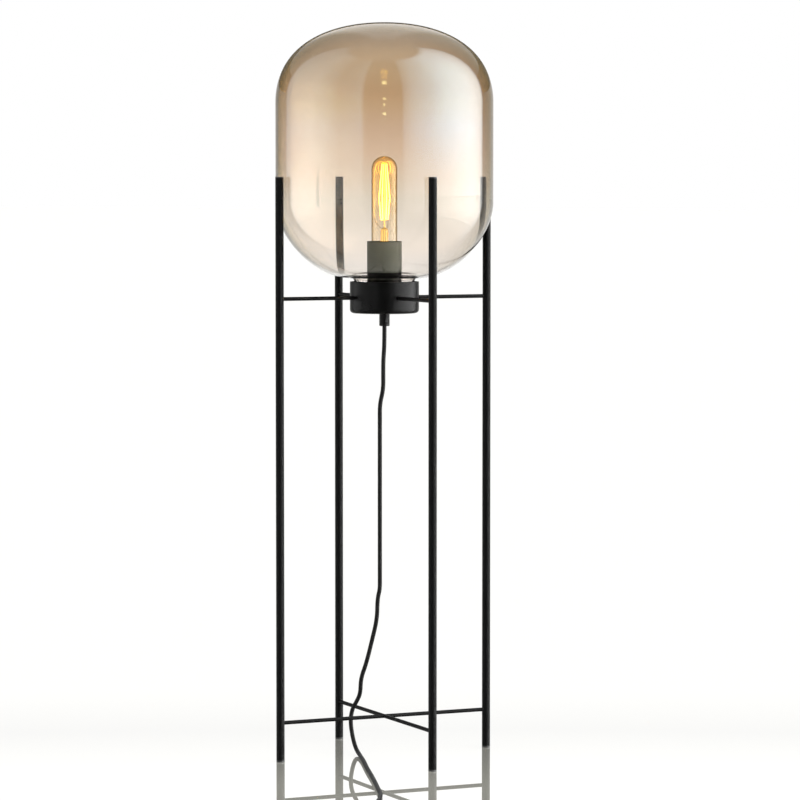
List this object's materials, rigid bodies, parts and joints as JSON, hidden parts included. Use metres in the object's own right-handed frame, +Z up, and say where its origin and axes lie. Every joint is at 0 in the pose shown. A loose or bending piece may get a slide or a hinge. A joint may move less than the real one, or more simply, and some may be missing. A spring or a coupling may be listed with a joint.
{
  "type": "glass floor lamp",
  "caption": "Floor lamp with a tall blown glass shade held in a slim black stand, a tubular filament bulb, and a cord with foot switch and plug.",
  "frame": {"origin": "centre of the square of feet, on the floor, below the axis of the glass", "axes": "+Z up along the axis of the glass; the legs stand on the diagonals of X and Y; the cord leaves towards -Y"},
  "size_m": [0.2753, 0.6406, 0.85],
  "materials": {
    "shade_glass": "blown glass with a cognac tint, clear towards its foot",
    "frame_black": "satin black powder coat",
    "cap_black": "matt",
    "seat_rubber": "matt",
    "zinc_steel": "zinc plated",
    "grip_black": "satin",
    "cover_grey": "satin",
    "holder_black": "moulded phenolic",
    "brass": "drawn",
    "wire_brown": "insulation",
    "wire_blue": "insulation",
    "bulb_tip_metal": "solder tip",
    "insulator_black": "vitrite",
    "bulb_cap_brass": "rolled thread",
    "bulb_amber": "amber tint",
    "stem_glass": "clear",
    "support_steel": "fine wire",
    "filament_glow": "glowing carbon strand",
    "cord_black": "smooth PVC sheath",
    "switch_black": "moulded, fine grain",
    "button_black": "satin",
    "spring_steel": "bright wire",
    "relief_black": "matt",
    "plug_black": "moulded, fine grain",
    "pin_nickel": "nickel plated"
  },
  "bodies": {
    "stand": {"leg_front_right": "frame_black", "arm_front_right": "frame_black", "leg_cap_front_right": "cap_black", "glide_front_right": "cap_black", "leg_back_right": "frame_black", "arm_back_right": "frame_black", "leg_cap_back_right": "cap_black", "glide_back_right": "cap_black", "leg_back_left": "frame_black", "arm_back_left": "frame_black", "leg_cap_back_left": "cap_black", "glide_back_left": "cap_black", "leg_front_left": "frame_black", "arm_front_left": "frame_black", "leg_cap_front_left": "cap_black", "glide_front_left": "cap_black", "rail_long": "frame_black", "rail_half_front_right": "frame_black", "rail_half_back_left": "frame_black", "holder_cup": "frame_black", "seat_ring": "seat_rubber", "nipple": "zinc_steel", "cup_washer": "zinc_steel", "cup_nut": "zinc_steel", "cord_grip": "grip_black", "grip_screw": "zinc_steel", "holder_cover": "cover_grey", "holder_cap": "holder_black", "holder_body": "holder_black", "screw_shell": "brass", "centre_contact": "brass", "terminal_live": "brass", "terminal_neutral": "brass", "wire_live": "wire_brown", "wire_neutral": "wire_blue", "cord_inlet": "cord_black", "cord_lead": "cord_black", "cord_tail": "cord_black", "cord_coil": "cord_black", "cord_end": "cord_black", "switch_base": "switch_black", "switch_cover": "switch_black", "switch_spring": "spring_steel", "switch_contact": "brass", "switch_relief_in": "relief_black", "switch_relief_out": "relief_black", "plug_relief": "relief_black", "plug_body": "plug_black", "plug_pin_left": "pin_nickel", "plug_pin_right": "pin_nickel"},
    "shade": {"glass_shade": "shade_glass"},
    "bulb_tip": {"bulb_contact": "bulb_tip_metal"},
    "bulb": {"bulb_insulator": "insulator_black", "bulb_cap": "bulb_cap_brass", "bulb_glass": "bulb_amber", "bulb_stem": "stem_glass", "bulb_supports": "support_steel", "bulb_filament": "filament_glow"},
    "button": {"switch_button": "button_black"}
  },
  "joints": [
    {"name": "shade_lift", "type": "slide", "parent": "stand", "child": "shade", "axis": [0, 0, 1], "range_m": [0, 0.18]},
    {"name": "bulb_rise", "type": "slide", "parent": "stand", "child": "bulb_tip", "axis": [0, 0, 1], "range_m": [0, 0.0251]},
    {"name": "bulb_turn", "type": "hinge", "parent": "bulb_tip", "child": "bulb", "pos_m": [0, 0, 0.56], "axis": [0, 0, 1], "range_deg": [0, 2484]},
    {"name": "switch_press", "type": "slide", "parent": "stand", "child": "button", "axis": [0, 0, -1], "range_m": [0, 0.0025], "stiffness_N_per_m": 200, "springref_m": -0.0005, "deforming": ["switch_spring"]}
  ],
  "couplings": [
    {"joint": "bulb_rise", "follows": "bulb_turn", "m_per_rad": 0.00057758}
  ]
}
